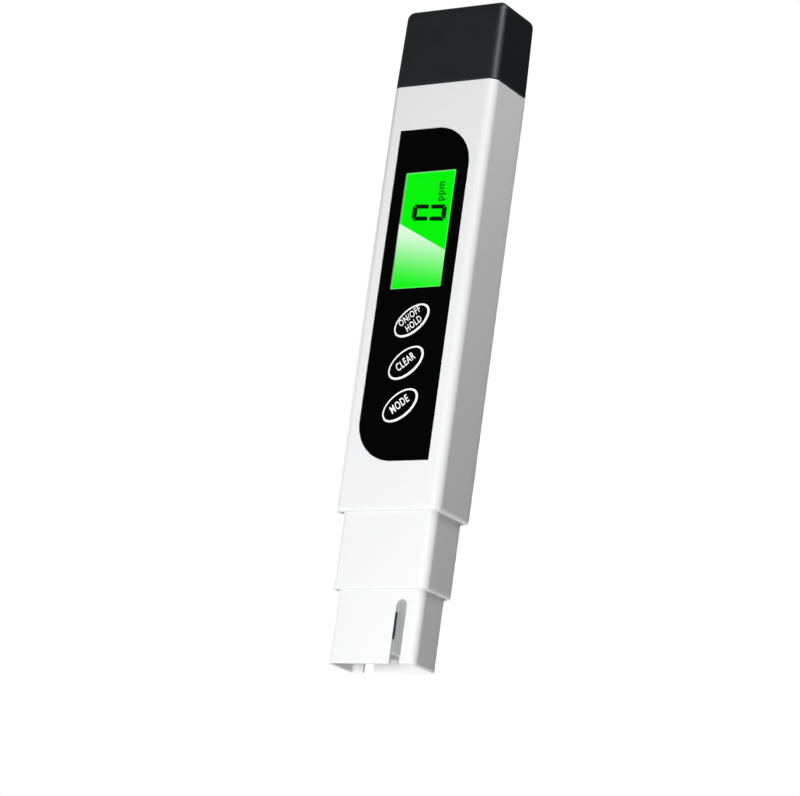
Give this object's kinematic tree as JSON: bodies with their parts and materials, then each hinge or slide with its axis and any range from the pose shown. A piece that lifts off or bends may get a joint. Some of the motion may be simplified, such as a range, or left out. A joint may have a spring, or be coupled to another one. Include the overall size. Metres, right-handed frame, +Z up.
{
  "type": "digital water tester",
  "caption": "Slim pen-shaped water tester: white rectangular housing stepping down to a slotted probe, black battery cap, black faceplate with green display and slanted oval keys.",
  "frame": {"origin": "centre of the probe's open lower end, midway between front and back", "axes": "+Z up the tester's length towards the battery cap, +X to the right of someone facing the display, -Y out of the display"},
  "size_m": [0.0294, 0.0158, 0.1631],
  "materials": {
    "white_plastic": "moulded white ABS, soft satin sheen",
    "black_plastic": "moulded black ABS, soft satin sheen",
    "faceplate_film": "smooth black film with white printed rings and function words",
    "clear_window": "clear glossy window",
    "display_green": "backlit green liquid-crystal display with dark digits",
    "light_guide": "frosted acrylic light guide",
    "inner_plastic": "natural off-white moulded plastic",
    "seal_rubber": "matt black silicone rubber",
    "circuit_board": "green solder mask over fibreglass",
    "chip_epoxy": "matt black epoxy",
    "plated_steel": "bright zinc-plated steel",
    "nickel_strip": "nickel-plated steel",
    "titanium": "fine-brushed titanium alloy",
    "lead_red": "red PVC insulation",
    "lead_black": "black PVC insulation",
    "lead_white": "white PVC insulation"
  },
  "bodies": {
    "tester": {"housing": "white_plastic", "cap_seal": "seal_rubber", "faceplate": "faceplate_film", "lcd_window": "clear_window", "power_hold_switch_base": "plated_steel", "clear_switch_base": "plated_steel", "mode_switch_base": "plated_steel", "lcd_glass": "display_green", "lcd_backlight": "light_guide", "lcd_foam_pad": "seal_rubber", "lcd_connector": "seal_rubber", "backlight_led": "inner_plastic", "main_board": "circuit_board", "controller_chip": "chip_epoxy", "amplifier_chip": "chip_epoxy", "timing_crystal": "plated_steel", "chassis": "inner_plastic", "board_screw_1": "plated_steel", "board_screw_2": "plated_steel", "board_screw_3": "plated_steel", "board_screw_4": "plated_steel", "battery_holder": "inner_plastic", "holder_screw": "plated_steel", "battery_link_strip": "nickel_strip", "battery_cell_1": "nickel_strip", "battery_cell_2": "nickel_strip", "battery_contact_positive": "nickel_strip", "battery_contact_negative": "nickel_strip", "battery_lead_positive": "lead_red", "battery_lead_negative": "lead_black", "probe_collar": "white_plastic", "collar_seal": "seal_rubber", "probe_shroud": "white_plastic", "electrode_carrier": "inner_plastic", "electrode_left": "titanium", "electrode_right": "titanium", "slot_electrode_front": "titanium", "slot_electrode_rear": "titanium", "temperature_sensor": "plated_steel", "electrode_lead_left": "lead_white", "electrode_lead_right": "lead_white", "temperature_sensor_lead": "lead_black"},
    "cap": {"battery_cap": "black_plastic"},
    "power_hold_button": {"power_hold_key": "faceplate_film", "power_hold_switch_plunger": "chip_epoxy"},
    "clear_button": {"clear_key": "faceplate_film", "clear_switch_plunger": "chip_epoxy"},
    "mode_button": {"mode_key": "faceplate_film", "mode_switch_plunger": "chip_epoxy"}
  },
  "joints": [
    {"name": "battery_cap_slide", "type": "slide", "parent": "tester", "child": "cap", "axis": [0, 0, 1], "range_m": [0, 0.022]},
    {"name": "power_hold_key_press", "type": "slide", "parent": "tester", "child": "power_hold_button", "axis": [0, 1, 0], "range_m": [0, 0.0003], "stiffness_N_per_m": 60, "springref_m": -0.0015},
    {"name": "clear_key_press", "type": "slide", "parent": "tester", "child": "clear_button", "axis": [0, 1, 0], "range_m": [0, 0.0003], "stiffness_N_per_m": 60, "springref_m": -0.0015},
    {"name": "mode_key_press", "type": "slide", "parent": "tester", "child": "mode_button", "axis": [0, 1, 0], "range_m": [0, 0.0003], "stiffness_N_per_m": 60, "springref_m": -0.0015}
  ]
}
